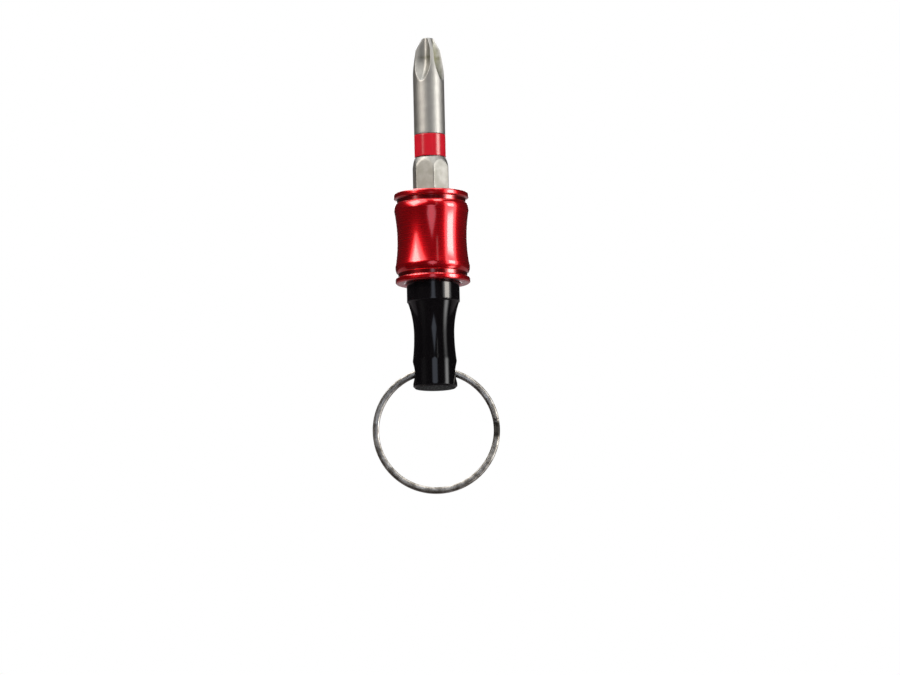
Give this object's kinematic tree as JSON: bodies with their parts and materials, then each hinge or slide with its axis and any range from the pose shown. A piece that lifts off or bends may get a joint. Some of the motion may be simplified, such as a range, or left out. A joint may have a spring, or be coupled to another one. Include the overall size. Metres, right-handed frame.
{
  "type": "bit holder keyring",
  "caption": "Quick-release hex bit holder with waisted stem, sliding ball-lock sleeve, split key ring and a cross-point screwdriver bit.",
  "frame": {"origin": "centre of the stem's end face, where the ring is", "axes": "+Z along the holder's axis towards the bit's tip; the cross hole and the ring's swing axis run along X"},
  "size_m": [0.0242, 0.0142, 0.0878],
  "materials": {
    "stem": "gloss black anodised",
    "sleeve": "gloss red anodised",
    "spring": "drawn spring wire",
    "ball": "polished",
    "clip": "drawn spring wire",
    "ring": "nickel plated",
    "bit": "satin",
    "band": "gloss red"
  },
  "bodies": {
    "holder": {"stem": "stem", "retaining_clip": "clip", "sleeve_spring": "spring"},
    "sleeve": {"release_sleeve": "sleeve"},
    "ball_left": {"lock_ball_left": "ball"},
    "ball_right": {"lock_ball_right": "ball"},
    "ring": {"split_ring": "ring"},
    "bit": {"driver_bit": "bit", "bit_band": "band"}
  },
  "joints": [
    {"name": "sleeve_slide", "type": "slide", "parent": "holder", "child": "sleeve", "axis": [0, 0, -1], "range_m": [0, 0.0026], "stiffness_N_per_m": 250, "springref_m": -0.003, "deforming": ["sleeve_spring"]},
    {"name": "ball_right_lift", "type": "slide", "parent": "holder", "child": "ball_right", "axis": [0.9848, 0.1736, 0], "range_m": [0, 0.00076]},
    {"name": "ball_left_lift", "type": "slide", "parent": "holder", "child": "ball_left", "axis": [-0.9848, -0.1736, 0], "range_m": [0, 0.00076]},
    {"name": "ring_swing", "type": "hinge", "parent": "holder", "child": "ring", "pos_m": [0, 0, 0.003], "axis": [1, 0, 0], "range_deg": [-155, 155]},
    {"name": "bit_float", "type": "slide", "parent": "holder", "child": "bit", "axis": [0, 0, 1], "range_m": [0, 0.0005]}
  ],
  "couplings": [
    {"joint": "ball_right_lift", "follows": "sleeve_slide", "ratio": 0.28846},
    {"joint": "ball_left_lift", "follows": "sleeve_slide", "ratio": 0.28846}
  ]
}
